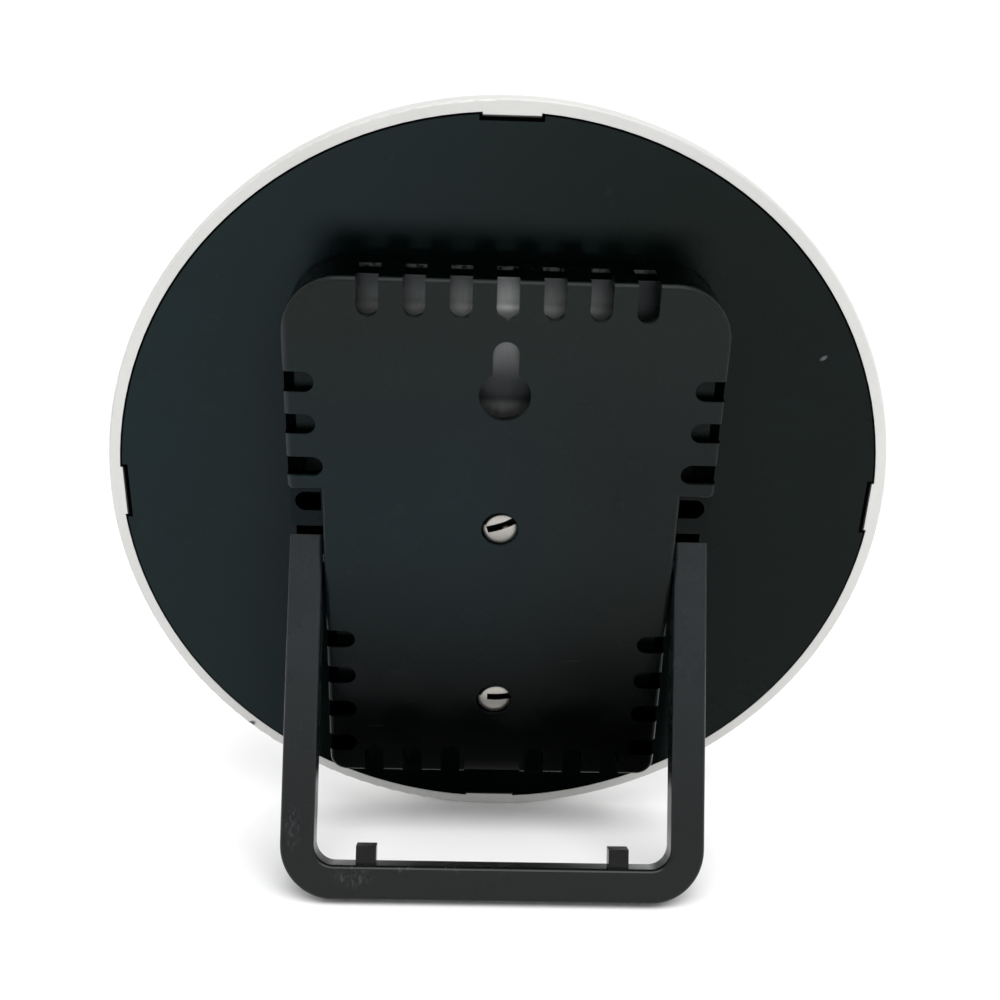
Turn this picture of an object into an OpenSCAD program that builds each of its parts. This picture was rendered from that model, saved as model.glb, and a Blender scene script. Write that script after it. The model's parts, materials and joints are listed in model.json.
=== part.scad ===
// Round digital photo frame on a folding U-shaped stand.
// Every part is drawn in the disc's own frame: X across, Y out of the back, Z up the disc's face,
// with Y = 0 on the back plate's outer surface. placed() then leans the disc back on its stand.

/* [Disc] */
// Outer radius of the bezel ring
bezel_r = 90; // [86:1:100]
// Depth of the bezel ring from its rear lip to its front
bezel_depth = 12.5; // [12:0.5:15]
// Radius of the bezel's round front edge
bezel_round = 8.5; // [8:0.5:9]
// Radius of the opening in front of the screen
front_opening_r = 80.5; // [79:0.5:81]
// Radius of the black back plate
plate_r = 87.4; // [87:0.1:87.4]
// Thickness of the back plate
plate_t = 2; // [1.5:0.1:2]

/* [Screen] */
// Width of the visible picture
picture_w = 113; // [100:1:114]
// Height of the visible picture
picture_h = 85; // [75:1:86]
// Outside width of the display module
module_w = 126.5; // [120:0.5:127]
// Outside height of the display module
module_h = 100; // [92:0.5:100]

/* [Housing] */
// Height of the electronics housing above the back plate
housing_h = 17.2; // [16.8:0.1:18]
// Half-width of the housing above the stand
upper_half_w = 46.5; // [44:0.5:48]
// Half-width of the housing between the stand's legs
lower_half_w = 39.2; // [38:0.2:39.2]
// Top edge of the housing
housing_top = 57.2; // [55:0.1:60]
// Bottom edge of the housing
housing_bottom = -66.1; // [-67:0.1:-64]
// Wall thickness of the housing
wall = 2; // [1.6:0.1:2.2]
// Radius along the outer edge of the housing's face
edge_r = 1.2; // [0.8:0.1:1.4]
// Width of one vent
vent_w = 4.6; // [3.6:0.1:5]
// Distance between the vents along the top
vent_pitch = 9.53; // [9:0.01:10]

/* [Stand] */
// Angle between the disc and the open stand
open_angle = 30; // [28:1:30]
// Outer half-width of the stand
stand_half_w = 47.2; // [47:0.1:48]
// Width of the stand's legs and bar
leg_w = 7.5; // [6.5:0.1:7.5]
// Thickness of the stand
leg_t = 7; // [6:0.1:7]
// Distance from the pivot to the stand's lower edge
stand_reach = 75.5; // [70:0.1:76]
// Distance from the pivot to the upper end of each leg
heel = 5; // [4:0.1:5]
// Outer corner radius of the stand
stand_corner_r = 12; // [10:0.5:12.5]
// Radius of the pivot pins
pin_r = 1.6; // [1.4:0.1:1.8]

/* [Keys] */
// Number of keys under the screen
key_count = 5; // [5:1:5]
// Distance between keys
key_pitch = 15; // [12:0.5:16]
// Radius of a key
key_r = 3; // [2.5:0.1:3.2]

/* [Fasteners] */
// Radius of the holes over the two housing screws
well_r = 4.1; // [4:0.1:4.2]
// Radius of the housing screws' heads
screw_head_r = 3.85; // [3.5:0.05:3.85]
// Radius of the keyhole's round entry
keyhole_r = 5.5; // [5:0.1:6]
// Width of the keyhole's neck
keyhole_neck = 5.5; // [4.6:0.1:5.6]

/* [Hidden] */
$fn = 96;
eps = 0.5;

// Pivot of the stand, level with the middle of a folded leg
pivot_s = -9.7;
pivot_h = 12.3;

// Lean of the disc: the line under the bezel's rear edge and the open stand's lower edge
lip_r = 0.5;
leg_edge_r = 0.9;
bar_z = -(stand_reach - leg_edge_r);
bar_y = -(leg_t / 2 - leg_edge_r);
bar_s = pivot_s + bar_z * cos(open_angle) + bar_y * sin(open_angle);
bar_h = pivot_h - bar_z * sin(open_angle) + bar_y * cos(open_angle);
run_s = bar_s + bezel_r - lip_r;
run_h = bar_h + lip_r;
lean = atan2(run_s, run_h) + asin((lip_r - leg_edge_r) / norm([run_s, run_h]));

// Shift that sets the part on Z = 0 with its box centred on the origin
shift_z = (bezel_r - lip_r) * cos(lean) - lip_r * sin(lean) + lip_r;
front_y = (bezel_depth - bezel_round) * cos(lean) + (bezel_r - bezel_round) * sin(lean) + bezel_round;
back_y = (housing_h - edge_r) * cos(lean) + (housing_top - edge_r) * sin(lean) + edge_r;
shift_y = (front_y - back_y) / 2;

// Layers from the front to the back, along Y
fascia_y = [-bezel_depth + 2.2, -bezel_depth + 4.2];
module_y = [-8.2, -2.6];
web_y = [-3.6, -2.2];
board_y = [3, 4.6];
shield_y = [9.6, 10.4];
shield_drop = 3.2;
shield_bend_s = 44;
shield_half_w = 33;
shield_t = 0.8;
face_in = housing_h - wall;

seat_gap = 0.05;
inner_r = 85;
tray_t = 0.6;
key_z = -62;
key_gap = 0.3;
well_floor_y = [11.6, 13.2];
screw_places = [0.8, -44.6];
// The wells sit slightly off the screws, up and to one side
well_shift = 0.12;
slot_w = 1.3;
slot_rise = 0.85;
slot_turns = [20, 0];
slot_ends = [2.8, 1.7];
post_r = 4;
screw_crown = 17;
screw_dome_r = 9.6;
board_screw_places = [[-30, 38], [30, 38], [-30, -28], [30, -28]];
// Side vents: the outer two of each row are blind, notched through the side wall only
upper_blind_vents = [34.5, 25];
upper_open_vents = [15.2];
lower_blind_vents = [-28.4, -38.3];
lower_open_vents = [-47.9, -57.7];
blind_depth = 0.9;
bottom_vents = [10.2, 19.4, 28.6];
shoulder_vent = 4.9;
step_s = 9.4;
shoulder_s = -1.2;
shoulder_h = 13.1;
// Corner of the stop, just outside the circle that the heel's corner sweeps
heel_sweep = norm([heel, leg_t / 2]) + 0.4;
heel_turn = open_angle + atan2(leg_t / 2, heel);
stop_s = pivot_s + heel_sweep * cos(heel_turn);
stop_h = pivot_h - heel_sweep * sin(heel_turn);
keyhole_s = 32.3;
neck_s = 41.6;
upper_corner_r = 12.5;
lower_corner_r = 4;
jack_h = 9.5;
tab_x = 28.2;
side_notch_h = 14.4;
top_notch_h = 6.3;

module placed() translate([0, shift_y, shift_z]) rotate([-lean, 0, 0]) children();

// Extrudes a plan drawn as (X, Z) along Y, from y0 to y1
module along_y(y0, y1) translate([0, y1, 0]) rotate([90, 0, 0]) linear_extrude(y1 - y0) children();

// Extrudes a section drawn as (Y, Z) along X, from x0 to x1
module along_x(x0, x1) translate([x0, 0, 0]) rotate([90, 0, 90]) linear_extrude(x1 - x0) children();

// Turns a section drawn as (radius, Y) about the disc's axis
module spun() rotate([-90, 0, 0]) rotate_extrude($fn = 192) children();

module disc(r, y0, y1, at = [0, 0]) along_y(y0, y1) translate(at) circle(r);

module block(x0, x1, y0, y1, z0, z1) translate([x0, y0, z0]) cube([x1 - x0, y1 - y0, z1 - z0]);

module both_sides() {
    children();
    mirror([1, 0, 0]) children();
}

// ---- Front of the disc ----

module bezel_section() {
    arc_c = [bezel_r - bezel_round, bezel_round - bezel_depth];
    difference() {
        union() {
            translate([front_opening_r, arc_c[1]]) square([bezel_r - front_opening_r, -arc_c[1] - lip_r]);
            translate([front_opening_r, -lip_r - 1]) square([bezel_r - front_opening_r - lip_r, 1 + lip_r]);
            translate([bezel_r - lip_r, -lip_r]) circle(lip_r);
            translate(arc_c) intersection() {
                circle(bezel_round);
                translate([0, -bezel_round]) square(bezel_round);
            }
            translate([front_opening_r + lip_r, -bezel_depth])
                square([arc_c[0] - front_opening_r - lip_r, bezel_depth / 2]);
            translate([front_opening_r, lip_r - bezel_depth])
                square([arc_c[0] - front_opening_r, bezel_depth / 2]);
            translate([front_opening_r + lip_r, lip_r - bezel_depth]) circle(lip_r);
        }
        translate([0, fascia_y[0] - seat_gap]) square([inner_r, bezel_depth]);
        translate([0, -plate_t - seat_gap]) square([plate_r + seat_gap, bezel_depth]);
    }
}

// Four snap tabs hold the back plate in the ring
module snap_tabs(width, reach, y0) {
    for (turn = [0:90:270])
        rotate([0, turn, 0])
            intersection() {
                block(-width / 2, width / 2, y0, 0, plate_r - reach, plate_r + eps);
                disc(plate_r + eps, y0, 0);
            }
}

module bezel_ring() color("gainsboro") placed() {
    spun() bezel_section();
    snap_tabs(12, 1, -plate_t);
}

module key_x_each() {
    for (i = [0:key_count - 1]) translate([(i - (key_count - 1) / 2) * key_pitch, 0, 0]) children();
}

window_margin = 1;
module front_fascia() color([0.02, 0.02, 0.025]) placed() difference() {
    disc(inner_r - 0.2, fascia_y[0], fascia_y[1]);
    block(-picture_w / 2 - window_margin, picture_w / 2 + window_margin, fascia_y[0] - eps,
        fascia_y[1] + eps, -picture_h / 2 - window_margin, picture_h / 2 + window_margin);
    key_x_each() disc(key_r + key_gap, fascia_y[0] - eps, fascia_y[1] + eps, [0, key_z]);
}

module screen_window() color([0.75, 0.8, 0.85, 0.4]) placed()
    block(-picture_w / 2 - window_margin + seat_gap, picture_w / 2 + window_margin - seat_gap,
        fascia_y[0], fascia_y[1] - 0.4,
        -picture_h / 2 - window_margin + seat_gap, picture_h / 2 + window_margin - seat_gap);

// ---- Display module ----

in_w = module_w / 2 - tray_t;
in_h = module_h / 2 - tray_t;

module lcd_panel() color([0.1, 0.12, 0.16]) placed()
    block(-in_w + 0.1, in_w - 0.1, module_y[0], module_y[0] + 2, -in_h + 0.1, in_h - 0.1);

module diffuser_sheet() color("white") placed()
    block(-in_w + 0.1, in_w - 0.1, module_y[0] + 2.05, module_y[0] + 2.35, -in_h + 4, in_h - 0.1);

module light_guide() color([0.9, 0.95, 1]) placed()
    block(-in_w + 0.1, in_w - 0.1, module_y[0] + 2.4, module_y[1] - tray_t - 0.05, -in_h + 4, in_h - 0.1);

module led_strip() color([0.95, 0.95, 0.9]) placed() {
    strip_y = module_y[1] - tray_t - 1.6;
    block(-in_w + 2, in_w - 2, strip_y - 0.8, strip_y + 1.4, -in_h + 0.1, -in_h + 1.1);
    for (i = [-8:8]) block(i * 7 - 1.5, i * 7 + 1.5, strip_y - 0.5, strip_y + 1.1, -in_h + 1.1, -in_h + 2.1);
}

module lcd_rear_tray() color("silver") placed() difference() {
    block(-module_w / 2, module_w / 2, module_y[0], module_y[1], -module_h / 2, module_h / 2);
    block(-in_w, in_w, module_y[0] - eps, module_y[1] - tray_t, -in_h, in_h);
}

module foam_pads() color([0.2, 0.2, 0.2]) placed()
    for (x = [-52, 52], z = [-40, 40]) block(x - 6, x + 6, module_y[1], -plate_t, z - 4, z + 4);

frame_wall = 1.6;
module mid_frame() color([0.12, 0.12, 0.13]) placed() {
    pocket_w = module_w / 2 + 0.2;
    pocket_h = module_h / 2 + 0.2;
    difference() {
        disc(inner_r - 0.3, module_y[0], web_y[1]);
        // Room for the display module
        block(-pocket_w, pocket_w, module_y[0] - eps, web_y[1] + eps, -pocket_h, pocket_h);
        // Four shallow pockets between the outer wall and the module's surround
        difference() {
            disc(inner_r - 0.3 - frame_wall, module_y[0] - eps, web_y[0]);
            block(-pocket_w - frame_wall, pocket_w + frame_wall, module_y[0] - 2 * eps, web_y[1],
                -pocket_h - frame_wall, pocket_h + frame_wall);
        }
        // Ways through the web for the key board's screws and cable
        both_sides() disc(0.95, web_y[0] - eps, web_y[1] + eps, [37.5, key_z]);
        block(-29, -17, web_y[0] - eps, web_y[1] + eps, -58.6, -57.2);
    }
}

// ---- Keys ----

module key_board() color([0.05, 0.3, 0.15]) placed() difference() {
    block(-40, 40, web_y[0] - 1, web_y[0], -67, -56.5);
    both_sides() disc(1, web_y[0] - 2, web_y[0] + eps, [37.5, key_z]);
}

switch_y = [-6.4, -4.6];
module tact_switches() color([0.15, 0.15, 0.15]) placed() key_x_each() difference() {
    block(-3, 3, switch_y[0], switch_y[1], key_z - 3, key_z + 3);
    disc(1.9, switch_y[0] - eps, -5, [0, key_z]);
}

module key_board_screws() color("silver") placed() both_sides() {
    disc(1.8, -5.8, -4.6, [37.5, key_z]);
    disc(0.9, -4.6, web_y[1] - 0.1, [37.5, key_z]);
}

module key_ribbon_cable() color([0.85, 0.85, 0.8]) placed()
    block(-28, -18, web_y[0], board_y[0], -58.2, -57.6);

// Cap, hidden collar and the stem that works the switch
module key(i) color([0.75, 0.76, 0.78]) placed() translate([(i - (key_count - 1) / 2) * key_pitch, 0, 0]) {
    disc(key_r - 0.3, fascia_y[0] - 0.8, fascia_y[1], [0, key_z]);
    disc(key_r, fascia_y[0] - 0.5, fascia_y[1], [0, key_z]);
    disc(key_r, fascia_y[1], fascia_y[1] + key_gap, [0, key_z]);
    disc(key_r + 1, fascia_y[1] + key_gap, -7.3, [0, key_z]);
    disc(1.6, -7.3, -5.8, [0, key_z]);
}

module power_key() key(0);
module previous_key() key(1);
module play_key() key(2);
module next_key() key(3);
module menu_key() key(4);

// ---- Back plate and electronics ----

module rear_plate() color([0.05, 0.06, 0.06]) placed() {
    difference() {
        disc(plate_r, -plate_t, 0);
        snap_tabs(12.4, 1.2, -plate_t - eps);
        // Ways through for the two flat cables
        block(8, 28, -plate_t - eps, eps, 21, 24);
        block(-30, -16, -plate_t - eps, eps, -59, -56.8);
    }
    for (p = board_screw_places) difference() {
        disc(3, 0, board_y[0], p);
        disc(1.3, 1, board_y[0] + eps, p);
    }
}

module main_board() color([0.04, 0.32, 0.16]) placed() difference() {
    block(-shield_half_w, shield_half_w, board_y[0], board_y[1], -62, 46);
    for (s = screw_places) disc(post_r + 0.6, board_y[0] - eps, board_y[1] + eps, [0, s]);
    for (p = board_screw_places) disc(1.6, board_y[0] - eps, board_y[1] + eps, p);
}

module board_screws() color("silver") placed() for (p = board_screw_places) {
    disc(2.6, board_y[1], board_y[1] + 1.6, p);
    disc(1.25, 1.2, board_y[1], p);
}

module processor_chip() color([0.1, 0.1, 0.1]) placed() block(4, 21, board_y[1], 6.2, 12, 29);

module memory_chips() color([0.1, 0.1, 0.1]) placed() {
    for (z = [12, 26]) block(-24, -12, board_y[1], 5.8, z, z + 9);
    block(6, 18, board_y[1], 5.8, -22, -10);
}

module capacitors() color([0.6, 0.62, 0.65]) placed()
    for (p = [[-20, -48], [-28, -52], [20, -50], [28, -44]]) disc(2.6, board_y[1], 9.4, p);

module power_inductor() color([0.25, 0.25, 0.27]) placed() block(8, 16, board_y[1], 8.6, -38, -30);

module coin_cell_holder() color([0.9, 0.9, 0.85]) placed() difference() {
    disc(11.4, board_y[1], 8.4, [-18, -18]);
    disc(10.1, board_y[1] + 0.6, 8.4 + eps, [-18, -18]);
}

module coin_cell() color("lightgray") placed() disc(10, board_y[1] + 0.6, 8.2, [-18, -18]);

module lcd_connector() color([0.92, 0.9, 0.82]) placed() block(8, 28, 1, board_y[0], 26, 32);

module lcd_ribbon_cable() color([0.8, 0.5, 0.2]) placed() {
    block(10, 26, module_y[1], 2.2, 22.3, 22.7);
    block(10, 26, 1.8, 2.2, 22.7, 26);
}

module card_socket() color("silver") placed() difference() {
    block(7, 33, 0.3, board_y[0], -64, -36);
    block(8, 32, 0.6, 2.7, -64 - eps, -38);
}

module dc_jack() color([0.06, 0.06, 0.06]) placed() difference() {
    union() {
        block(-4.5, 4.5, board_y[1], 14.4, -64, -51);
        translate([0, jack_h, -65.8]) cylinder(r = 4, h = 1.8);
    }
    translate([0, jack_h, -65.8 - eps]) cylinder(r = 3.15, h = 9.5 + eps);
}

module dc_jack_contacts() color("silver") placed()
    translate([0, jack_h, -65]) cylinder(r = 1, h = 8.7);

// Bright steel cover over the board, bent down towards its upper edge: the surface seen through the vents
module shield_cover() color("lightsteelblue") placed() difference() {
    shield_top = housing_top - wall - 0.1;
    union() {
        along_x(-shield_half_w, shield_half_w)
            polygon([[shield_y[0], -50], [shield_y[1], -50], [shield_y[1], shield_bend_s],
                [shield_y[1] - shield_drop, shield_top], [shield_y[0] - shield_drop, shield_top],
                [shield_y[0], shield_bend_s]]);
        both_sides() block(shield_half_w - shield_t, shield_half_w, board_y[1], shield_y[0], -24, 34);
    }
    for (s = screw_places) disc(post_r + 0.6, shield_y[0] - eps, shield_y[1] + eps, [0, s]);
}

module housing_posts() color("goldenrod") placed() for (s = screw_places) difference() {
    disc(post_r, 0, well_floor_y[0], [0, s]);
    disc(2.03, 2, well_floor_y[0] + eps, [0, s]);
}

// ---- Rear housing ----

module rounded_plan(w, z0, z1, r0, r1) {
    polygon([[-w, z0 + r0], [-w + r0, z0], [w - r0, z0], [w, z0 + r0],
        [w, z1 - r1], [w - r1, z1], [-w + r1, z1], [-w, z1 - r1]]);
    for (side = [-1, 1]) {
        translate([side * (w - r0), z0 + r0]) circle(r0, $fn = 48);
        translate([side * (w - r1), z1 - r1]) circle(r1, $fn = 48);
    }
}

// A block whose face edge is rolled over with radius edge_r, as a hull of ever smaller plans
module soft_block(w, z0, z1, r0, r1) {
    skin = 0.02;
    hull() {
        along_y(0, skin) rounded_plan(w, z0, z1, r0, r1);
        for (turn = [0:15:90]) {
            inset = edge_r * (1 - cos(turn));
            y = housing_h - edge_r * (1 - sin(turn));
            along_y(y - skin, y) rounded_plan(w - inset, z0 + inset, z1 - inset, r0 - inset, r1 - inset);
        }
    }
}

// Shoulder above each leg, and the lower step that the heel meets when the stand is open
module shoulders() {
    both_sides() along_x(lower_half_w - wall, upper_half_w)
        polygon([[0, step_s + 4], [shoulder_h, step_s + 4], [shoulder_h, shoulder_s],
            [stop_h, shoulder_s], [stop_h, stop_s], [0, stop_s]]);
}

// A vent with a round inner end, cut in the face down to floor_h, and down the wall that it meets to low
module vent(inner, wall_in, edge, low, floor_h = face_in - eps) {
    along_y(floor_h, housing_h + 1) {
        translate([inner + vent_w / 2, -vent_w / 2]) square([edge - inner, vent_w]);
        translate([inner + vent_w / 2, 0]) circle(vent_w / 2, $fn = 48);
    }
    block(wall_in - eps, edge + vent_w / 2, low, housing_h + 1, -vent_w / 2, vent_w / 2);
}

module side_vents(places, half_w, reach, floor_h = face_in - eps) {
    for (z = places) translate([0, 0, z]) vent(half_w - reach, half_w - wall, half_w, side_notch_h, floor_h);
}

module vents() {
    for (i = [-3:3]) translate([i * vent_pitch, 0, 0]) rotate([0, -90, 0])
        vent(housing_top - 8.2, housing_top - wall, housing_top, top_notch_h);
    both_sides() {
        side_vents(upper_open_vents, upper_half_w, 7.9);
        side_vents(upper_blind_vents, upper_half_w, 6.6, housing_h - blind_depth);
        side_vents(lower_open_vents, lower_half_w, 6.6);
        side_vents(lower_blind_vents, lower_half_w, 6.6, housing_h - blind_depth);
        for (x = bottom_vents) translate([x, 0, 0]) rotate([0, 90, 0])
            vent(-housing_bottom - 7.6, -housing_bottom - wall, -housing_bottom, 5);
        along_y(shoulder_h - wall - eps, shoulder_h + 1) {
            translate([lower_half_w + 0.6, shoulder_vent - vent_w / 2]) square([3.4, vent_w]);
            translate([lower_half_w + 4, shoulder_vent]) circle(vent_w / 2);
        }
    }
}

module cavity() {
    block(-lower_half_w + wall, lower_half_w - wall, -eps, face_in, housing_bottom + wall, step_s + 8);
    along_y(-eps, face_in)
        rounded_plan(upper_half_w - wall, step_s + wall, housing_top - wall, 0.5, upper_corner_r - wall);
    both_sides() block(lower_half_w - wall - eps, upper_half_w - wall, -eps, shoulder_h - wall,
        shoulder_s + wall, step_s + 4);
}

module keyhole() {
    disc(keyhole_r, face_in - eps, housing_h + 1, [0, keyhole_s]);
    disc(keyhole_neck / 2, face_in - eps, housing_h + 1, [0, neck_s]);
    block(-keyhole_neck / 2, keyhole_neck / 2, face_in - eps, housing_h + 1, keyhole_s, neck_s);
}

// Finger niche over the power inlet, deeper towards the bottom edge
module inlet_niche() along_x(-6.8, 6.8)
    polygon([[housing_h + 1, -61.4], [housing_h, -61.9], [housing_h - 1.6, housing_bottom - 1],
        [housing_h + 1, housing_bottom - 1]]);

module rear_housing() color([0.07, 0.08, 0.08]) placed() difference() {
    union() {
        difference() {
            union() {
                soft_block(upper_half_w, step_s, housing_top, 1.6, upper_corner_r);
                soft_block(lower_half_w, housing_bottom, step_s + 12, lower_corner_r, 2);
                shoulders();
            }
            cavity();
        }
        for (s = screw_places) disc(5.4, well_floor_y[0], face_in + eps, [0, s]);
        both_sides() translate([lower_half_w - wall - 1.5, pivot_h, pivot_s]) rotate([0, 90, 0])
            cylinder(r = 2.8, h = 1.5 + eps);
    }
    vents();
    keyhole();
    inlet_niche();
    for (s = screw_places) {
        disc(well_r, well_floor_y[1], housing_h + 1, [well_shift, s + well_shift]);
        disc(2.2, well_floor_y[0] - eps, well_floor_y[1] + eps, [0, s]);
    }
    // Bores for the pivot pins
    both_sides() translate([lower_half_w - 6, pivot_h, pivot_s]) rotate([0, 90, 0])
        cylinder(r = pin_r + 0.06, h = 7);
    // Ways in for the power plug and the memory card
    translate([0, jack_h, housing_bottom - 1]) cylinder(r = 4.2, h = wall + 2);
    block(8.5, 31.5, 0.6, 2.7, housing_bottom - 1, housing_bottom + wall + eps);
}

// Slotted screws with domed heads, nearly flush. Each slot is cut off the middle, closed at one end and
// turned its own way.
module housing_screws() color("silver") placed()
    for (i = [0, 1]) translate([0, 0, screw_places[i]]) difference() {
        union() {
            rotate([-90, 0, 0]) rotate_extrude() intersection() {
                translate([0, screw_crown - screw_dome_r]) circle(screw_dome_r, $fn = 192);
                translate([0, well_floor_y[1]]) square([screw_head_r, housing_h - well_floor_y[1]]);
            }
            disc(2, 3, well_floor_y[1]);
        }
        rotate([0, slot_turns[i], 0])
            block(-screw_head_r - 1, slot_ends[i], screw_crown - 1.4, housing_h,
                slot_rise - slot_w / 2, slot_rise + slot_w / 2);
    }

// ---- Stand ----

module on_stand() placed() translate([0, pivot_h, pivot_s]) rotate([open_angle, 0, 0]) children();

// Section across a leg, from 0 to leg_w, with rounded edges
module leg_section() {
    e = leg_edge_r;
    translate([e, -leg_t / 2]) square([leg_w - 2 * e, leg_t]);
    translate([0, -leg_t / 2 + e]) square([leg_w, leg_t - 2 * e]);
    for (x = [e, leg_w - e], y = [-leg_t / 2 + e, leg_t / 2 - e]) translate([x, y]) circle(e, $fn = 32);
}

module pivot_pins() color("silver") on_stand() both_sides()
    translate([lower_half_w - wall - 1.7, 0, 0]) rotate([0, 90, 0])
        cylinder(r = pin_r, h = stand_half_w - 2.2 - (lower_half_w - wall - 1.7));

module stand() color([0.16, 0.17, 0.17]) on_stand() {
    inner_w = stand_half_w - leg_w;
    inner_corner_r = stand_corner_r - leg_w;
    both_sides() {
        // Leg with the blind hole for its pin
        difference() {
            translate([inner_w, 0, -(stand_reach - stand_corner_r)])
                linear_extrude(stand_reach - stand_corner_r + heel) leg_section();
            translate([inner_w - 1, 0, 0]) rotate([0, 90, 0]) cylinder(r = pin_r, h = leg_w - 2.2 + 1);
        }
        // Round corner
        translate([stand_half_w - stand_corner_r, 0, -(stand_reach - stand_corner_r)])
            rotate([-90, 0, 0]) rotate_extrude(angle = 90)
                translate([inner_corner_r, 0]) leg_section();
        // Tab on the bar's inner edge
        block(tab_x - 2.25, tab_x + 2.25, -2.2, 1.8, -(stand_reach - 1), -(stand_reach - leg_w) + 4);
    }
    translate([-(stand_half_w - stand_corner_r), 0, -(stand_reach - leg_w)]) rotate([0, 90, 0])
        linear_extrude(2 * (stand_half_w - stand_corner_r)) leg_section();
}

bezel_ring();
front_fascia();
screen_window();
lcd_panel();
diffuser_sheet();
light_guide();
led_strip();
lcd_rear_tray();
foam_pads();
mid_frame();
key_board();
tact_switches();
key_board_screws();
key_ribbon_cable();
power_key();
previous_key();
play_key();
next_key();
menu_key();
rear_plate();
main_board();
board_screws();
processor_chip();
memory_chips();
capacitors();
power_inductor();
coin_cell_holder();
coin_cell();
lcd_connector();
lcd_ribbon_cable();
card_socket();
dc_jack();
dc_jack_contacts();
shield_cover();
housing_posts();
rear_housing();
housing_screws();
pivot_pins();
stand();
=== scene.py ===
"""Looks of a round photo frame on its folding stand, seen from behind."""

import json
import math

import bmesh
import bpy
from mathutils import Matrix, Vector

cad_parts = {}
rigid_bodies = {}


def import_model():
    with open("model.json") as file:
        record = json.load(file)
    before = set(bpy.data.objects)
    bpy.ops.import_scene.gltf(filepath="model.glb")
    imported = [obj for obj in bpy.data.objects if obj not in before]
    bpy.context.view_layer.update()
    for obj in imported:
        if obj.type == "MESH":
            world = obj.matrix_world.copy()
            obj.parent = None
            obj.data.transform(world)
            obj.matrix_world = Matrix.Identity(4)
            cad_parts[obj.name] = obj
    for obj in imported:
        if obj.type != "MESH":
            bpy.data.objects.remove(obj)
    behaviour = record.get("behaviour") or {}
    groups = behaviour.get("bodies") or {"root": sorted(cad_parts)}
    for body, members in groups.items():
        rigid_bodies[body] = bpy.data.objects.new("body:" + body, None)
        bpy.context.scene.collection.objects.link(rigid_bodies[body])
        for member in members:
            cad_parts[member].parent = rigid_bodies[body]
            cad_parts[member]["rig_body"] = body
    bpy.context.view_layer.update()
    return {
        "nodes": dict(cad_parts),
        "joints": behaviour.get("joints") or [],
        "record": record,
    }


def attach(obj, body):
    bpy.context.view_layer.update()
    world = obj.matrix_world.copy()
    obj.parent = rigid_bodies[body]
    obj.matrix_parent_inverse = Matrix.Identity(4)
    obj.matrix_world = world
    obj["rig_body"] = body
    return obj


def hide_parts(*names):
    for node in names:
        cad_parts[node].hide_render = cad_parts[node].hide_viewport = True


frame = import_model()

MM = 0.001
mounts = {mount["name"]: mount for mount in frame["record"]["mounts"]}
joints = {joint["name"]: joint for joint in frame["joints"]}

# The disc's own frame: X across, Y out of the back, Z up the disc's face, in mm from the back plate
KEYHOLE_H, KEYHOLE_S = 16.2, 32.3
out_of_back = Vector(mounts["wall_keyhole"]["axis"]).normalized()
up_face = Vector((0, -out_of_back.z, out_of_back.y))
disc_centre = Vector(mounts["wall_keyhole"]["pos_m"]) - (KEYHOLE_H * out_of_back + KEYHOLE_S * up_face) * MM
disc_axes = Matrix((Vector((1, 0, 0)), out_of_back, up_face)).transposed()
disc_matrix = Matrix.Translation(disc_centre) @ disc_axes.to_4x4() @ Matrix.Scale(MM, 4)

# The open stand's own frame: Y out of its outer face, Z along its legs towards the pivot
STAND_OPEN = math.radians(30)
pivot = Vector(joints["stand_fold"]["pos_m"])
stand_axes = disc_axes @ Matrix.Rotation(STAND_OPEN, 3, "X")
stand_matrix = Matrix.Translation(pivot) @ stand_axes.to_4x4() @ Matrix.Scale(MM, 4)

# Places in the disc's frame, in mm
PLATE_R = 87.4
TAB_HALF, TAB_DEPTH_H = 6.7, -3.0   # half the width of the shadow at a snap tab, and how deep it goes
TAB_TIP_R, TAB_GAP_R = 86.65, 85.45
PARTING_H = -1.6                    # the ring's parting line
FACE_LOW_H, FACE_H = 15.8, 16.7     # where the housing's face starts to show, and where it is full
STEP_S = 9.2                        # the step in the housing's side walls
VENT_HALF = 2.5
# Each pair of blind side vents: the place of its middle, and the offsets between which its painted shade
# fades out
BLIND_VENTS = ((34.5, -1.6, 0.4), (25, -1.6, 0.8), (-28.4, 0.3, 2.2), (-38.3, 0, 2))
SCREWS = ((0.8, 20, 2.82), (-44.6, 0, 1.72))  # height, turn of the slot in degrees, its closed end
SLOT_LOW, SLOT_HIGH, SLOT_REACH = -0.05, 1.55, 5.0
LCD_FRONT_H = -8.15
PICTURE_HALF = (56.4, 42.4)

SHADE_BLACK = (0.004, 0.004, 0.004)
DEEP_BLACK = (0.0005, 0.0005, 0.0005)

# How the shapes of CAD nodes are cleaned and bevelled
MERGE, FLAT_ANGLE, SHARP_ANGLE = 0.002, 0.8, 35  # mm, degrees, degrees


# ---- Node materials ----

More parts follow.
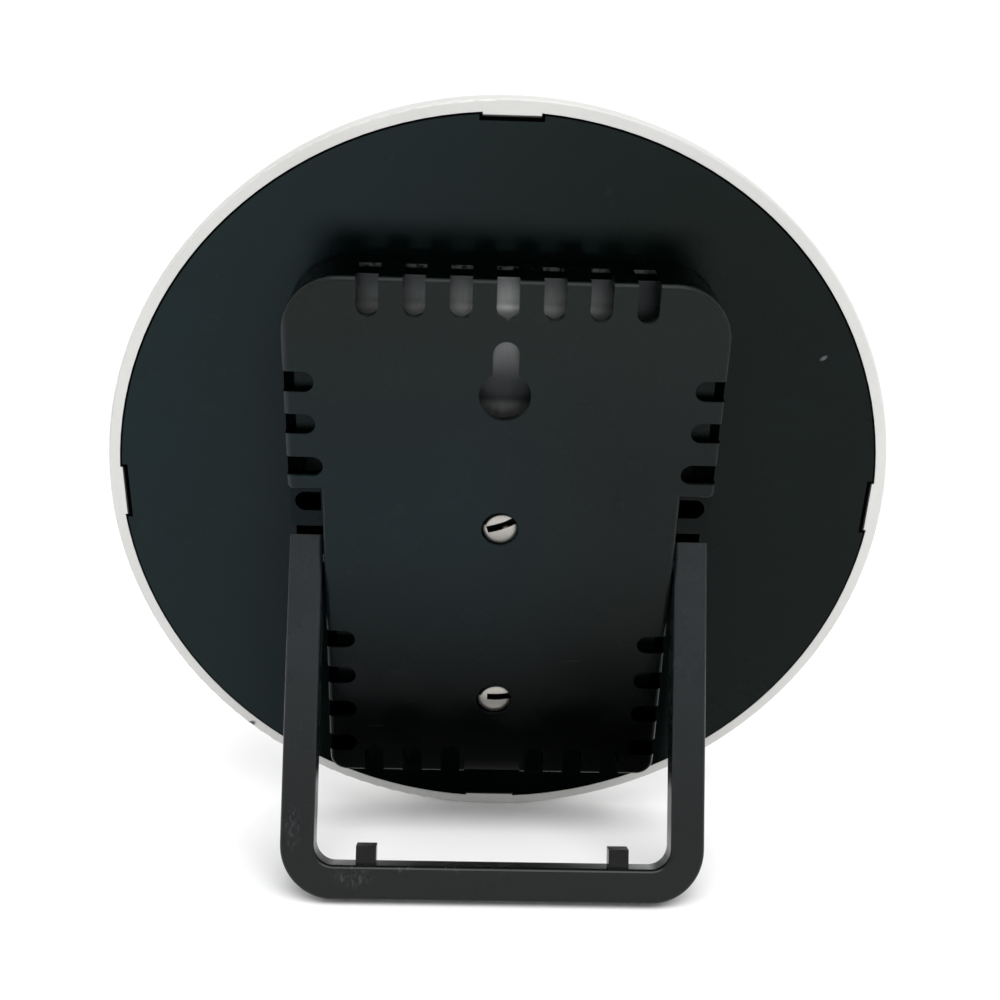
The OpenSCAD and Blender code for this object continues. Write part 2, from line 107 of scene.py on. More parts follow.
class Finish:
    """A node material whose patterns are laid out in millimetres in one of the two frames above.

    Colours are linear RGB.
    """

    def __init__(self, name, place=disc_matrix):
        self.material = bpy.data.materials.new(name)
        self.material.use_nodes = True
        self.tree = self.material.node_tree
        self.shader = self.tree.nodes["Principled BSDF"]
        where = self.add("ShaderNodeTexCoord").outputs["Object"]
        spot, turn, size = place.decompose()
        self.mm = self.add("ShaderNodeMapping", {0: where, 1: spot, 2: turn.to_euler(), 3: size},
                           vector_type="TEXTURE").outputs[0]

    def add(self, kind, inputs=None, **settings):
        node = self.tree.nodes.new(kind)
        for name, value in settings.items():
            setattr(node, name, value)
        for name, value in (inputs or {}).items():
            self.feed(node.inputs[name], value)
        return node

    def feed(self, socket, value):
        if isinstance(value, bpy.types.NodeSocket):
            self.tree.links.new(value, socket)
        else:
            socket.default_value = value

    def base(self, **values):
        """Sets the shader's own sockets. Underscores stand for the spaces in their names."""
        for name, value in values.items():
            if name == "Base_Color" and not isinstance(value, bpy.types.NodeSocket):
                value = (*value, 1)
            self.feed(self.shader.inputs[name.replace("_", " ")], value)

    def math(self, operation, a, b=0.0, c=0.0, clamp=False):
        return self.add("ShaderNodeMath", {0: a, 1: b, 2: c}, operation=operation, use_clamp=clamp).outputs[0]

    def axis(self, name):
        return self.add("ShaderNodeSeparateXYZ", {0: self.mm}).outputs[name]

    def radius(self):
        """The distance from the disc's axis."""
        flat = self.add("ShaderNodeCombineXYZ", {0: self.axis("X"), 2: self.axis("Z")}).outputs[0]
        return self.add("ShaderNodeVectorMath", {0: flat}, operation="LENGTH").outputs["Value"]

    def moved(self, shift=(0, 0, 0), turn=(0, 0, 0), scale=(1, 1, 1)):
        return self.add("ShaderNodeMapping", {0: self.mm, 1: shift, 2: turn, 3: scale}).outputs[0]

    def noise(self, size, detail=3, rough=0.5, scale=(1, 1, 1), shift=(0, 0, 0)):
        """Noise whose features are about size mm across."""
        where = self.moved(shift, scale=scale)
        return self.add("ShaderNodeTexNoise", {"Vector": where, "Scale": 1 / size, "Detail": detail,
                                               "Roughness": rough}).outputs["Fac"]

    def step(self, value, low, high, floor=0.0, top=1.0):
        """value from low to high becomes floor to top, smoothly."""
        return self.add("ShaderNodeMapRange", {0: value, 1: low, 2: high, 3: floor, 4: top},
                        interpolation_type="SMOOTHSTEP").outputs[0]

    def mix(self, share, a, b):
        """A colour between a and b."""
        a, b = ((*c, 1) if isinstance(c, tuple) else c for c in (a, b))
        return self.add("ShaderNodeMix", {0: share, 6: a, 7: b}, data_type="RGBA").outputs[2]

    def specks(self, cell, size, share, shift=(0, 0, 0)):
        """A mask of dots of about size mm, in a share of the cells of cell mm."""
        where = self.moved(shift)
        dots = self.add("ShaderNodeTexVoronoi", {"Vector": where, "Scale": 1 / cell, "Randomness": 1.0})
        near = self.step(dots.outputs["Distance"], size / cell * 0.35, size / cell * 0.5, 1, 0)
        chosen = self.add("ShaderNodeSeparateColor", {0: dots.outputs["Color"]}).outputs[0]
        return self.math("MULTIPLY", near, self.math("LESS_THAN", chosen, share))

    def spot(self, x, s, radius, squash=1.0, angle=0.0):
        """A soft round or oval mask about the point (x, s) of the frame's face."""
        where = self.add("ShaderNodeMapping", {0: self.mm, 1: (x, 0, s), 2: (0, math.radians(angle), 0),
                                               3: (radius, 1e6, radius * squash)},
                         vector_type="TEXTURE").outputs[0]
        away = self.add("ShaderNodeVectorMath", {0: where}, operation="LENGTH").outputs["Value"]
        return self.step(away, 0.35, 1, 1, 0)

    def slot(self, height, turn, end):
        """A sharp mask of the slot of the screw at (0, height), turned, and closed at end."""
        where = self.add("ShaderNodeMapping", {0: self.mm, 1: (0, 0, height), 2: (0, math.radians(turn), 0)},
                         vector_type="TEXTURE").outputs[0]
        split = self.add("ShaderNodeSeparateXYZ", {0: where}).outputs
        inside = self.math("MULTIPLY", self.math("GREATER_THAN", split["Z"], SLOT_LOW),
                           self.math("LESS_THAN", split["Z"], SLOT_HIGH))
        inside = self.math("MULTIPLY", inside, self.math("GREATER_THAN", split["X"], -SLOT_REACH))
        return self.math("MULTIPLY", inside, self.math("LESS_THAN", split["X"], end))

    def beside_tabs(self, low, high):
        """A mask of what lies between two radii beside the four snap tabs of the back."""
        across, up = (self.math("ABSOLUTE", self.axis(name)) for name in "XZ")
        near = self.math("LESS_THAN", self.math("MINIMUM", across, up), TAB_HALF)
        near = self.math("MULTIPLY", near, self.math("GREATER_THAN", self.axis("Y"), TAB_DEPTH_H))
        far = self.math("MAXIMUM", across, up)
        return self.math("MULTIPLY", near, self.math("MULTIPLY", self.step(far, low, low + 0.15),
                                                     self.step(far, high, high + 0.15, 1, 0)))

    def bump(self, height, depth, strength=1.0):
        """Adds relief of depth mm on top of any that is there."""
        normal = self.shader.inputs["Normal"]
        inputs = {"Height": height, "Distance": depth * MM, "Strength": strength}
        if normal.is_linked:
            inputs["Normal"] = normal.links[0].from_socket
        self.feed(normal, self.add("ShaderNodeBump", inputs).outputs[0])


def shaded(colour, factor):
    return tuple(min(1.0, c * factor) for c in colour)


def plastic(name, colour, spread, roughness, grain, depth, specular, place=disc_matrix):
    """Moulded plastic: mottled colour, uneven gloss, a fine moulded grain and a slight long waviness.

    spread is the share by which the colour varies; grain is the grain's size and depth its relief, in mm.
    """
    f = Finish(name, place)
    clouds = f.noise(24, 4)
    fine = f.noise(grain * 3, 2)
    tone = f.mix(f.step(clouds, 0.3, 0.7), shaded(colour, 1 - spread), shaded(colour, 1 + spread))
    tone = f.mix(f.step(fine, 0.35, 0.75, 0, 0.35), tone, shaded(colour, 1 + 2 * spread))
    f.colour = tone
    gloss = f.step(f.noise(15, 4, shift=(7, 3, 1)), 0.3, 0.7, roughness - 0.06, roughness + 0.06)
    f.base(Base_Color=tone, Roughness=gloss, IOR=1.48, Specular_IOR_Level=specular)
    f.bump(f.noise(60, 1), depth=0.25, strength=0.5)
    f.bump(f.noise(grain, 3, 0.6), depth, 0.6)
    return f


def metal(name, colour, roughness, brushed=(1, 1, 1), depth=0.01, place=disc_matrix):
    """Metal with brushed or rolled streaks and faint stains.

    The streaks run along the axis that is small in brushed; depth is their relief in mm.
    """
    f = Finish(name, place)
    streaks = f.noise(0.5, 4, 0.6, scale=brushed)
    stains = f.noise(9, 4)
    tone = f.mix(f.step(stains, 0.35, 0.75), colour, shaded(colour, 0.86))
    tone = f.mix(f.step(streaks, 0.3, 0.8, 0, 0.5), tone, shaded(colour, 0.9))
    f.colour = tone
    gloss = f.math("ADD", f.step(streaks, 0.2, 0.8, roughness - 0.07, roughness + 0.08),
                   f.step(stains, 0.3, 0.8, 0, 0.08))
    f.base(Base_Color=tone, Metallic=1.0, Roughness=gloss)
    f.bump(streaks, depth, 0.5)
    return f


def scratches(f, density, colour, shift=(0, 0, 0), turn=0.0):
    """Hairline scratches, drawn as thin stretched noise, mixed into the colour."""
    where = f.moved(shift, (0, math.radians(turn), 0), (0.05, 1, 1.6))
    lines = f.add("ShaderNodeTexNoise", {"Vector": where, "Scale": 1.0, "Detail": 2}).outputs["Fac"]
    mask = f.step(lines, 1 - density, 1 - density + 0.03)
    f.colour = f.mix(mask, f.colour, colour)


def bezel_white():
    f = plastic("bezel_white", (0.495, 0.495, 0.482), spread=0.025, roughness=0.40, grain=0.5,
                depth=0.006, specular=0.4)
    # A faint grey film, painted shade that darkens the ring towards the top, small dark nicks, and one larger
    # chip low on the back edge
    film = f.step(f.noise(30, 5, 0.65), 0.5, 0.8, 0, 0.35)
    f.colour = f.mix(film, f.colour, (0.45, 0.45, 0.425))
    f.colour = f.mix(f.step(f.axis("Z"), 20, 85, 0, 0.08), f.colour, (0.02, 0.02, 0.02))
    f.colour = f.mix(f.specks(cell=9, size=0.4, share=0.06), f.colour, (0.30, 0.29, 0.27))
    chip = f.math("MULTIPLY", f.spot(61.5, -65.5, 2.0, squash=0.55, angle=30),
                  f.step(f.axis("Y"), -2.8, -2.0))
    f.colour = f.mix(chip, f.colour, (0.03, 0.03, 0.03))
    # Shadow over the tips of the snap tabs, and the parting line round the outside
    f.colour = f.mix(f.beside_tabs(80, TAB_TIP_R), f.colour, SHADE_BLACK)
    line = f.step(f.math("ABSOLUTE", f.math("SUBTRACT", f.axis("Y"), PARTING_H)), 0.10, 0.22, 0.6, 0)
    f.colour = f.mix(line, f.colour, (0.30, 0.30, 0.29))
    f.base(Base_Color=f.colour)
    return f.material


def plate_black():
    f = plastic("plate_black", (0.0015, 0.0060, 0.0058), spread=0.12, roughness=0.22, grain=0.35,
                depth=0.004, specular=0.095)
    # Painted light makes it paler and bluer towards one side; there are also wiped smears and dust
    side = f.mix(f.step(f.axis("X"), -60, 85), (0.0014, 0.0034, 0.0026), (0.0066, 0.0130, 0.0148))
    f.colour = f.mix(0.75, f.colour, side)
    # Darker where the housing's two ends and the stand's legs keep the light off it
    up, away = f.axis("Z"), f.math("ABSOLUTE", f.axis("X"))
    under = f.math("MULTIPLY", f.step(up, -70, -58, 1, 0), f.step(away, 34, 50, 1, 0))
    over = f.math("MULTIPLY", f.step(up, 54, 56), f.step(up, 60, 67, 0.8, 0))
    shade = f.math("MAXIMUM", under, f.math("MULTIPLY", over, f.step(away, 33, 46, 1, 0)))
    beside = f.math("MULTIPLY", f.step(up, -22, -8, 0.9, 0), f.step(away, 43, 47.5, 1, 0))
    shade = f.math("MAXIMUM", shade, beside)
    f.colour = f.mix(shade, f.colour, (0.0002, 0.0013, 0.0010))
    smear = f.step(f.noise(18, 4, 0.6, scale=(1, 1, 2.2)), 0.52, 0.8, 0, 0.4)
    f.colour = f.mix(smear, f.colour, (0.004, 0.009, 0.009))
    f.colour = f.mix(f.specks(cell=7, size=0.22, share=0.05), f.colour, (0.08, 0.08, 0.08))
    # One faint chip near the edge
    f.colour = f.mix(f.spot(-70.9, 36.6, 1.2, squash=0.5, angle=35), f.colour, (0.07, 0.075, 0.085))
    # Painted shade in the joint with the ring, black all round, and wider at its four tabs
    joint = f.step(f.radius(), PLATE_R - 0.55, PLATE_R - 0.3)
    joint = f.math("MAXIMUM", joint, f.beside_tabs(TAB_GAP_R, PLATE_R))
    f.colour = f.mix(joint, f.colour, DEEP_BLACK)
    f.base(Base_Color=f.colour, Metallic=f.math("MAXIMUM", shade, joint))
    return f.material


def housing_black():
    f = plastic("housing_black", (0.0060, 0.0095, 0.0100), spread=0.12, roughness=0.25, grain=0.4,
                depth=0.008, specular=0.095)
    # Painted shade: the face is greyest near its top, and the walls, vents and lower end are painted black
    across, up, out = f.axis("X"), f.axis("Z"), f.axis("Y")
    away = f.math("ABSOLUTE", across)
    face = f.step(out, FACE_LOW_H, FACE_H)
    shoulder = f.math("MULTIPLY", f.step(out, 12.6, 12.9, 0, 0.6), f.step(up, STEP_S, STEP_S + 0.3, 1, 0))
    shoulder = f.math("MULTIPLY", shoulder, f.step(away, 39.3, 39.8))
    face = f.math("MAXIMUM", face, shoulder)
    # Painted shade in the lower side of each blind vent
    for middle, low, high in BLIND_VENTS:
        off = f.math("SUBTRACT", up, middle)
        inside = f.math("LESS_THAN", f.math("ABSOLUTE", off), VENT_HALF)
        painted_shade = f.math("MULTIPLY", f.step(off, low, high, 1, 0), inside)
        painted_shade = f.math("MULTIPLY", painted_shade, f.step(out, 16.5, 16.8, 1, 0))
        face = f.math("MULTIPLY", face, f.math("SUBTRACT", 1.0, painted_shade))
    fade = f.math("MULTIPLY", f.step(up, -52, 0), face)
    # Painted light: paler and bluer towards one side
    blue = f.mix(f.step(across, -30, 10), (0.0052, 0.0062, 0.0058), (0.0055, 0.0110, 0.0130))
    grey = f.mix(f.step(up, 10, 50), blue, (0.0075, 0.0100, 0.0090))
    f.colour = f.mix(fade, (0.0002, 0.0005, 0.0005), f.mix(0.7, f.colour, grey))
    f.colour = f.mix(f.specks(cell=5, size=0.2, share=0.04, shift=(3, 1, 2)), f.colour, (0.05, 0.05, 0.05))
    scratches(f, density=0.25, colour=(0.012, 0.014, 0.014), shift=(4, 0, 9), turn=80)
    # Light catches the rounded edge of the upper part on one side
    edge = f.math("MULTIPLY", f.step(across, 44.9, 46.2, 0, 0.3), f.step(up, STEP_S, STEP_S + 0.4))
    f.colour = f.mix(f.math("MULTIPLY", edge, face), f.colour, (0.05, 0.056, 0.062))
    # A painted highlight on the outer corner of the ledge in each vent of the upper edge
    ledge = f.math("MULTIPLY", f.step(out, 6.5, 6.8, 1, 0), f.step(out, 5.6, 5.9))
    ledge = f.math("MULTIPLY", ledge, f.step(up, 56.3, 56.6))
    ledge = f.math("MULTIPLY", ledge, f.step(f.noise(1.5, 3), 0.35, 0.55))
    f.colour = f.mix(ledge, f.colour, (0.022, 0.024, 0.022))
    # Painted shade: sheen fades towards the lower end, and most in one corner
    shiny = f.math("MULTIPLY", face, f.step(up, -62, -44, 0.3, 1))
    corner = f.math("MULTIPLY", f.step(up, -40, -20, 1, 0), f.step(across, -26, -4, 0.55, 0))
    shiny = f.math("MULTIPLY", shiny, f.math("SUBTRACT", 1.0, corner))
    # The outer side walls keep some sheen
    facing = f.add("ShaderNodeSeparateXYZ", {0: f.add("ShaderNodeTexCoord").outputs["Normal"]}).outputs["X"]
    side = f.math("MULTIPLY", f.step(f.math("ABSOLUTE", facing), 0.7, 0.95, 0, 0.7),
                  f.step(away, 32.5, 34))
    shiny = f.math("MAXIMUM", shiny, side)
    f.base(Base_Color=f.colour, Metallic=f.math("SUBTRACT", 1.0, shiny))
    return f.material


def stand_grey():
    f = plastic("stand_grey", (0.0080, 0.0105, 0.0120), spread=0.08, roughness=0.24, grain=0.35,
                depth=0.004, specular=0.25, place=stand_matrix)
    # Painted shade: slightly darker towards the bar
    up = f.axis("Z")
    low = f.step(up, -70, -5, 0.85, 0)
    f.colour = f.mix(low, f.colour, (0.0020, 0.0030, 0.0028))
    # The bar's two tabs are the darkest part
    tab = f.math("MULTIPLY", f.step(up, -68.1, -67.8), f.step(up, -63.5, -63, 1, 0))
    tab = f.math("MULTIPLY", tab, f.step(f.math("ABSOLUTE", f.axis("X")), 30.6, 30.8, 1, 0))
    f.colour = f.mix(tab, f.colour, DEEP_BLACK)
    # Soft scuffs near one lower corner and along the bar's inner edge
    wear_and_sheen = f.spot(44.3, -60, 2.2, squash=3.0)
    for x, along, radius, squash in ((31, -70.2, 6, 0.6), (19.5, -68.6, 3.5, 0.3), (9, -68.6, 3.5, 0.3)):
        wear_and_sheen = f.math("MAXIMUM", wear_and_sheen, f.spot(x, along, radius, squash))
    rub = f.math("MULTIPLY", f.step(f.noise(0.9, 5, 0.75, scale=(1.5, 1, 0.45)), 0.48, 0.72), wear_and_sheen)
    f.colour = f.mix(f.math("MULTIPLY", rub, 0.45), f.colour, (0.08, 0.085, 0.09))
    scratches(f, density=0.27, colour=(0.018, 0.020, 0.021), turn=35)
    f.colour = f.mix(f.specks(cell=6, size=0.25, share=0.03), f.colour, (0.06, 0.06, 0.06))
    f.base(Base_Color=f.colour)
    return f.material


def fascia_gloss():
    f = plastic("fascia_gloss", (0.004, 0.004, 0.005), spread=0.1, roughness=0.16, grain=1.5,
                depth=0.001, specular=0.25)
    f.base(Coat_Weight=0.25, Coat_Roughness=0.05)
    scratches(f, density=0.30, colour=(0.02, 0.02, 0.022), turn=15)
    f.colour = f.mix(f.specks(cell=4, size=0.18, share=0.05), f.colour, (0.15, 0.15, 0.14))
    f.base(Base_Color=f.colour)
    return f.material


def window_clear():
    f = Finish("window_clear")
    smudge = f.step(f.noise(14, 5, 0.6), 0.5, 0.8, 0.02, 0.09)
    tint = f.mix(f.noise(20, 2), (0.97, 0.985, 0.99), (1.0, 1.0, 1.0))
    f.base(Base_Color=tint, Roughness=smudge, Transmission_Weight=1.0, IOR=1.49)
    f.bump(f.noise(25, 1), depth=0.02, strength=0.3)
    return f.material


def skyline(f, level, height, length, shift):
    """Mask of what lies below a rolling line across the picture."""
    along = f.math("DIVIDE", f.axis("X"), length)
    line = f.add("ShaderNodeTexNoise", {"W": f.math("ADD", along, shift), "Scale": 1.0, "Detail": 5},
                 noise_dimensions="1D").outputs["Fac"]
    top = f.math("MULTIPLY_ADD", f.math("SUBTRACT", line, 0.5), height, level)
    return f.step(f.math("SUBTRACT", top, f.axis("Z")), -0.15, 0.15)


def lcd_dark():
    """The display, showing a plain evening landscape of hills over a lake."""
    f = Finish("lcd_dark")
    up, across = f.axis("Z"), f.axis("X")
    sky = f.mix(f.step(up, -5, 42), (0.95, 0.50, 0.22), (0.10, 0.26, 0.60))
    cloud = f.step(f.noise(16, 6, 0.6, scale=(0.35, 1, 1.6)), 0.50, 0.72, 0, 0.7)
    picture = f.mix(cloud, sky, (0.98, 0.80, 0.66))
    picture = f.mix(f.spot(20, 6, 7), picture, (1.0, 0.90, 0.60))
    for level, height, length, shift, colour in (
            (6, 26, 34, 3.1, (0.30, 0.24, 0.36)), (0, 22, 24, 7.7, (0.14, 0.15, 0.24)),
            (-6, 16, 15, 11.3, (0.05, 0.09, 0.10))):
        haze = f.mix(f.step(f.noise(6, 4), 0.3, 0.8), colour, shaded(colour, 1.3))
        picture = f.mix(skyline(f, level, height, length, shift), picture, haze)
    ripples = f.step(f.noise(3, 4, 0.6, scale=(0.18, 1, 1.5)), 0.40, 0.62)
    water = f.mix(ripples, (0.10, 0.16, 0.26), (0.75, 0.46, 0.30))
    picture = f.mix(f.step(up, -15.1, -14.9, 1, 0), picture, water)
    shore = skyline(f, -30, 14, 20, 17.9)
    grass = f.mix(f.step(f.noise(1.2, 3), 0.4, 0.7), (0.02, 0.04, 0.02), (0.07, 0.10, 0.03))
    picture = f.mix(shore, picture, grass)
    lines = f.math("PINGPONG", f.math("MULTIPLY", across, 2.5), 0.5)
    picture = f.mix(f.step(lines, 0.0, 0.5, 0.10, 0), picture, (0, 0, 0))
    lit = f.step(f.axis("Y"), LCD_FRONT_H, LCD_FRONT_H + 0.05, 1, 0)
    for along, half in zip((across, up), PICTURE_HALF):
        lit = f.math("MULTIPLY", lit, f.step(f.math("ABSOLUTE", along), half, half + 0.1, 1, 0))
    f.base(Base_Color=f.mix(lit, (0.01, 0.01, 0.012), (0.03, 0.03, 0.035)), Roughness=0.35,
           Emission_Color=f.mix(lit, (0, 0, 0), picture), Emission_Strength=0.8)
    f.bump(f.noise(0.4, 2), depth=0.002, strength=0.4)
    return f.material


def sheet_steel():
    f = metal("sheet_steel", (0.62, 0.63, 0.63), roughness=0.36, brushed=(1, 1, 0.06), depth=0.006)
    # Zinc spangle; painted light makes the sheet bright in the middle of its upper edge, and dark elsewhere
    spangle = f.add("ShaderNodeTexVoronoi", {"Vector": f.moved(), "Scale": 1 / 6}).outputs["Color"]
    grey = f.add("ShaderNodeSeparateColor", {0: spangle}).outputs[0]
    f.colour = f.mix(f.math("MULTIPLY", grey, 0.25), f.colour, (0.42, 0.43, 0.44))
    across, up = f.axis("X"), f.axis("Z")
    away = f.math("ABSOLUTE", across)
    painted_light = f.math("ADD", f.step(up, 47.3, 50.2, 0.9, 0), f.step(up, 50, 55.5, 0.17, 0.05))
    wear_and_sheen = f.math("ADD", f.step(away, 3, 8, 1.46, 0), f.step(away, 11, 21, 0.82, 0.48))
    ends = f.math("ADD", f.step(away, 22, 27, 0, 0.1), f.step(across, -27, -21, 0.33, 0))
    wear_and_sheen = f.math("SUBTRACT", wear_and_sheen, ends)
    painted_light = f.math("MULTIPLY", painted_light, wear_and_sheen, clamp=True)
    # Behind the keyhole the painted light is duller still
    keyhole_light = f.math("ADD", f.step(up, 25.5, 29.5, 0.65, 0.012), f.step(up, 33, 43, 0, 0.18))
    painted_light = f.math("ADD", f.math("MULTIPLY", painted_light, f.step(up, 43.5, 46)),
                   f.math("MULTIPLY", keyhole_light, f.step(up, 43.5, 46, 1, 0)))
    f.colour = f.mix(painted_light, (0.018, 0.020, 0.021), f.colour)
    f.base(Base_Color=f.colour)
    return f.material


def screw_nickel():
    f = metal("screw_nickel", (0.38, 0.365, 0.34), roughness=0.38, brushed=(1, 1, 1), depth=0.012)
    f.colour = f.mix(f.specks(cell=1.5, size=0.25, share=0.2), f.colour, (0.24, 0.21, 0.17))
    # Painted shade round the heads in their holes and in both slots; the upper slot is left bare at one spot,
    # where it glints
    painted_shade = f.step(f.axis("Y"), 15.9, 16.15, 1, 0)
    outside_glint = f.step(f.spot(-0.8, 2.15, 1.5, squash=0.8, angle=20), 0.1, 0.6, 1, 0)
    for height, turn, end in SCREWS:
        slot = f.slot(height, turn, end)
        painted_shade = f.math("MAXIMUM", painted_shade, f.math("MULTIPLY", slot, outside_glint))
        # A painted shadow of the hole's edge: a dark crescent along the upper edge, towards one side
        inner = f.spot(-0.35, height - 0.45, 9.2)
        crescent = f.math("MULTIPLY", f.step(inner, 0.97, 0.995, 1, 0),
                          f.step(f.math("SUBTRACT", f.axis("Z"), height), 0.2, 1.2))
        near = f.spot(0, height, 14)
        painted_shade = f.math("MAXIMUM", painted_shade, f.math("MULTIPLY", crescent, f.math("GREATER_THAN", near, 0.5)))
    f.colour = f.mix(painted_shade, f.colour, SHADE_BLACK)
    f.base(Base_Color=f.colour)
    return f.material


def pin_steel():
    return metal("pin_steel", (0.06, 0.06, 0.065), roughness=0.25, brushed=(0.1, 1, 1),
                 depth=0.004, place=stand_matrix).material


def brass():
    return metal("brass", (0.72, 0.52, 0.22), roughness=0.28, brushed=(1, 0.1, 1), depth=0.006).material


def can_aluminium():
    return metal("can_aluminium", (0.74, 0.75, 0.77), roughness=0.32, brushed=(1, 0.1, 1),
                 depth=0.004).material


def board_green():
    """Solder mask over copper tracks, with drilled vias."""
    f = plastic("board_green", (0.012, 0.11, 0.045), spread=0.10, roughness=0.3, grain=1.2,
                depth=0.004, specular=0.5)
    tracks = f.add("ShaderNodeTexBrick", {"Vector": f.moved(turn=(math.radians(90), 0, 0)), "Scale": 0.22,
                                          "Mortar Size": 0.06, "Color1": (0, 0, 0, 1), "Color2": (0, 0, 0, 1),
                                          "Mortar": (1, 1, 1, 1)}).outputs["Color"]
    f.colour = f.mix(f.math("MULTIPLY", tracks, 0.6), f.colour, (0.03, 0.24, 0.09))
    f.colour = f.mix(f.specks(cell=3, size=0.7, share=0.35), f.colour, (0.55, 0.50, 0.30))
    f.base(Base_Color=f.colour)
    f.bump(tracks, depth=0.03, strength=0.5)
    return f.material


def chip_black():
    return plastic("chip_black", (0.018, 0.018, 0.019), spread=0.15, roughness=0.55, grain=0.2,
                   depth=0.01, specular=0.4).material


def ferrite():
    return plastic("ferrite", (0.07, 0.07, 0.075), spread=0.2, roughness=0.6, grain=0.3,
                   depth=0.02, specular=0.4).material


def connector_cream():
    return plastic("connector_cream", (0.78, 0.73, 0.60), spread=0.05, roughness=0.45, grain=0.3,
                   depth=0.005, specular=0.45).material


def diffuser_white():
    return plastic("diffuser_white", (0.86, 0.86, 0.86), spread=0.02, roughness=0.5, grain=0.15,
                   depth=0.004, specular=0.4).material


def guide_clear():
    f = Finish("guide_clear")
    dots = f.specks(cell=1.2, size=0.6, share=1.0)
    f.base(Base_Color=f.mix(dots, (0.90, 0.95, 0.97), (0.98, 0.98, 0.98)),
           Roughness=f.step(dots, 0, 1, 0.05, 0.5), Transmission_Weight=0.9, IOR=1.49)
    f.bump(dots, depth=0.02, strength=0.5)
    return f.material


def led_board():
    return plastic("led_board", (0.80, 0.80, 0.74), spread=0.05, roughness=0.4, grain=0.3,
                   depth=0.004, specular=0.45).material


def foam():
    return plastic("foam", (0.035, 0.035, 0.036), spread=0.3, roughness=0.9, grain=0.5,
                   depth=0.15, specular=0.2).material


def inner_grey():
    return plastic("inner_grey", (0.035, 0.035, 0.038), spread=0.1, roughness=0.5, grain=0.4,
                   depth=0.01, specular=0.4).material


def key_silver():
    f = plastic("key_silver", (0.52, 0.53, 0.55), spread=0.05, roughness=0.32, grain=0.12,
                depth=0.004, specular=0.5)
    f.base(Metallic=0.6)
    return f.material


def flat_cable():
    """Polyimide film over parallel conductors."""
    f = plastic("flat_cable", (0.42, 0.22, 0.06), spread=0.12, roughness=0.3, grain=1.0,
                depth=0.004, specular=0.5)
    lines = f.step(f.math("PINGPONG", f.axis("X"), 0.25), 0.1, 0.15)
    f.colour = f.mix(f.math("MULTIPLY", lines, 0.5), f.colour, (0.62, 0.38, 0.16))
    f.base(Base_Color=f.colour)
    f.bump(lines, depth=0.02, strength=0.4)
    return f.material


def flat_cable_white():
    """White film over parallel conductors."""
    f = plastic("flat_cable_white", (0.76, 0.76, 0.72), spread=0.05, roughness=0.4, grain=1.0,
                depth=0.004, specular=0.5)
    lines = f.step(f.math("PINGPONG", f.axis("X"), 0.5), 0.2, 0.3)
    f.colour = f.mix(f.math("MULTIPLY", lines, 0.4), f.colour, (0.50, 0.50, 0.50))
    f.base(Base_Color=f.colour)
    f.bump(lines, depth=0.03, strength=0.4)
    return f.material


FINISHES = {make.__name__: make() for make in (
    bezel_white, plate_black, housing_black, stand_grey, fascia_gloss, window_clear, lcd_dark,
    diffuser_white, guide_clear, led_board, sheet_steel, screw_nickel, pin_steel, brass, board_green,
    chip_black, can_aluminium, ferrite, connector_cream, foam, inner_grey, key_silver, flat_cable,
    flat_cable_white)}
SLOT_OF = {subpart["node"]: subpart["material_slot"] for subpart in frame["record"]["subparts"]}


# ---- Mesh pieces ----

def refined(node, bevel):
    """Replaces a CAD node by its own shape, with its edges broken as moulding or stamping leaves them."""
    name = node + "_shell"
    bm = bmesh.new()
    bm.from_mesh(frame["nodes"][node].data)
    bmesh.ops.remove_doubles(bm, verts=bm.verts, dist=MERGE * MM)
    bmesh.ops.dissolve_limit(bm, angle_limit=math.radians(FLAT_ANGLE), verts=bm.verts, edges=bm.edges)
    bmesh.ops.recalc_face_normals(bm, faces=bm.faces)
    mesh = bpy.data.meshes.new(name)
    bm.to_mesh(mesh)
    bm.free()
    mesh.shade_smooth()
    mesh.materials.append(FINISHES[SLOT_OF[node]])
    piece = bpy.data.objects.new(name, mesh)
    bpy.context.scene.collection.objects.link(piece)
    edge = piece.modifiers.new("edge", "BEVEL")
    edge.width = bevel * MM
    edge.segments = 2
    edge.limit_method = "ANGLE"
    edge.angle_limit = math.radians(SHARP_ANGLE)
    edge.use_clamp_overlap = True
    flat = piece.modifiers.new("flat_faces", "WEIGHTED_NORMAL")
    flat.weight = 90
    flat.keep_sharp = True
    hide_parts(node)
    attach(piece, frame["nodes"][node]["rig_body"])


for node_name, node_object in frame["nodes"].items():
    for material_slot in node_object.material_slots:
        material_slot.material = FINISHES[SLOT_OF[node_name]]

# How far each visible node's edges are broken, in mm
BEVELS = {"rear_housing": 0.18, "rear_plate": 0.15, "stand": 0.25, "bezel_ring": 0.12, "front_fascia": 0.12,
          "screen_window": 0.15, "shield_cover": 0.1, "dc_jack": 0.1, "card_socket": 0.05,
          "housing_screws": 0.12, "power_key": 0.12, "previous_key": 0.12, "play_key": 0.12,
          "next_key": 0.12, "menu_key": 0.12}
for replaced, bevel_width in BEVELS.items():
    refined(replaced, bevel_width)


# ---- Camera, light and stage ----

def make_camera(lens, distance, tilt, yaw, roll, aside, above):
    """A camera that looks at the back. distance, aside and above are in the back plate's radii."""
    turn = (Matrix.Rotation(math.radians(roll), 3, "Z") @ Matrix.Rotation(math.radians(yaw), 3, "Y")
            @ Matrix.Rotation(math.radians(tilt), 3, "X")).transposed()
    basis = Matrix((Vector((-1, 0, 0)), up_face, out_of_back)).transposed()
    spot = disc_centre + basis @ (turn @ Vector((aside, above, distance))) * PLATE_R * MM
    camera = bpy.data.objects.new("camera", bpy.data.cameras.new("camera"))
    camera.matrix_world = Matrix.Translation(spot) @ (basis @ turn).to_4x4()
    camera.data.lens = lens
    camera.data.clip_start = 0.01
    bpy.context.scene.collection.objects.link(camera)
    bpy.context.scene.camera = camera


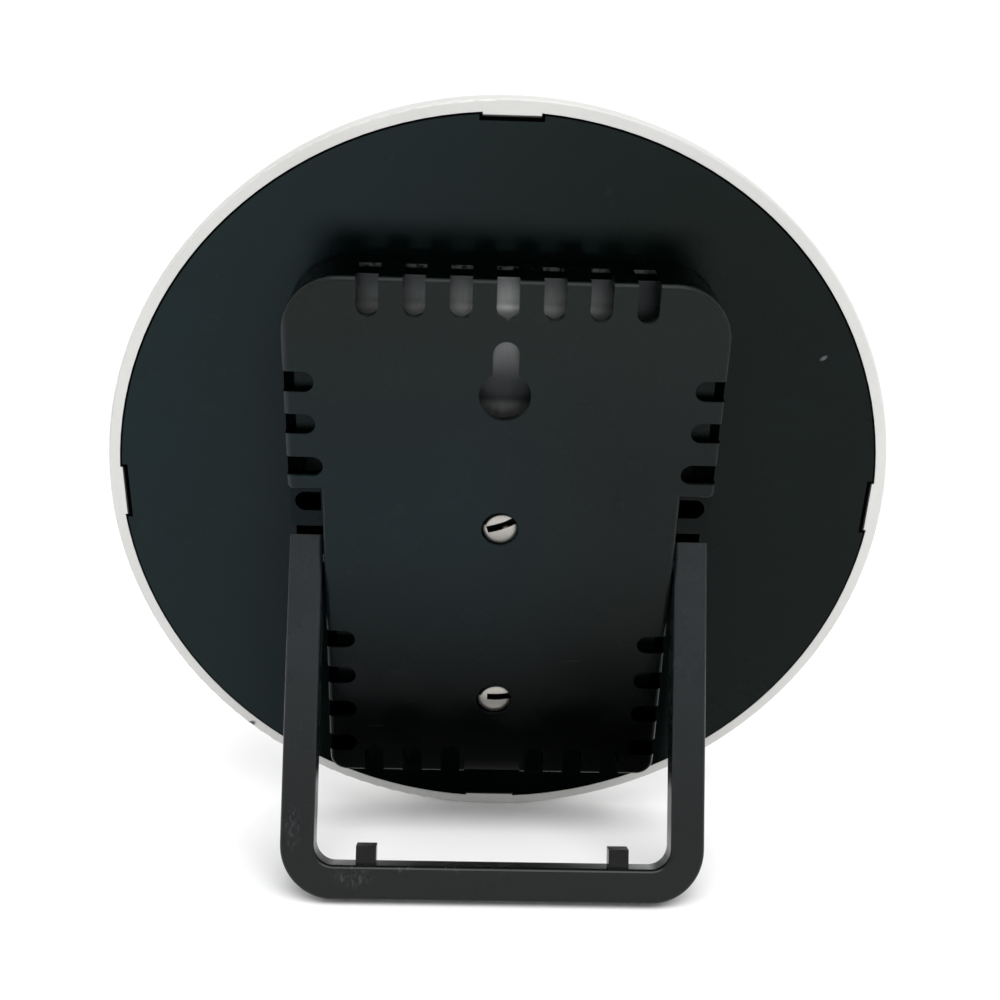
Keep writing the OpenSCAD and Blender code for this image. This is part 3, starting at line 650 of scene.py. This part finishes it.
def make_stage(flat, wall):
    """A pale floor that sweeps up into a low wall all round, as one turned surface."""
    bm = bmesh.new()
    curve = [(flat * t / 6, 0.0) for t in range(1, 7)]
    curve += [(flat + wall * math.sin(math.radians(a)), wall * (1 - math.cos(math.radians(a))))
              for a in range(6, 91, 6)]
    steps = 96
    middle = bm.verts.new((0, 0, 0))
    rings = [[bm.verts.new((r * math.cos(2 * math.pi * i / steps), r * math.sin(2 * math.pi * i / steps), z))
              for i in range(steps)] for r, z in curve]
    for i in range(steps):
        k = (i + 1) % steps
        bm.faces.new((middle, rings[0][i], rings[0][k]))
        for inner, outer in zip(rings, rings[1:]):
            bm.faces.new((inner[i], outer[i], outer[k], inner[k]))
    mesh = bpy.data.meshes.new("floor")
    bm.to_mesh(mesh)
    bm.free()
    mesh.shade_smooth()
    floor = bpy.data.objects.new("floor", mesh)
    bpy.context.scene.collection.objects.link(floor)
    f = Finish("floor_paper", Matrix.Scale(MM, 4))
    tone = f.mix(f.noise(90, 3), (0.90, 0.90, 0.90), (0.93, 0.93, 0.93))
    f.base(Base_Color=tone, Roughness=0.9, Specular_IOR_Level=0.1)
    f.bump(f.noise(0.6, 2), depth=0.02, strength=0.3)
    mesh.materials.append(f.material)


def make_light(name, spot, size, power):
    """A soft round light that faces the object."""
    light = bpy.data.objects.new(name, bpy.data.lights.new(name, "AREA"))
    light.data.shape = "DISK"
    light.data.size = size
    light.data.energy = power
    light.location = spot
    light.rotation_mode = "QUATERNION"
    light.rotation_quaternion = (Vector(spot) - disc_centre).to_track_quat("Z", "Y")
    bpy.context.scene.collection.objects.link(light)


def make_sky(strength):
    world = bpy.data.worlds.new("studio")
    world.use_nodes = True
    sky = world.node_tree.nodes["Background"]
    sky.inputs["Color"].default_value = (1, 1, 1, 1)
    sky.inputs["Strength"].default_value = strength
    bpy.context.scene.world = world


bpy.context.scene.view_settings.view_transform = "Standard"
make_camera(lens=44.76, distance=3.3202, tilt=26.18, yaw=1.44, roll=-1.29, aside=0.0021, above=-0.0024)
make_stage(flat=1.0, wall=0.6)
make_sky(strength=1.0)
make_light("key_light", spot=(-0.1, 0.6, 0.9), size=0.9, power=9)
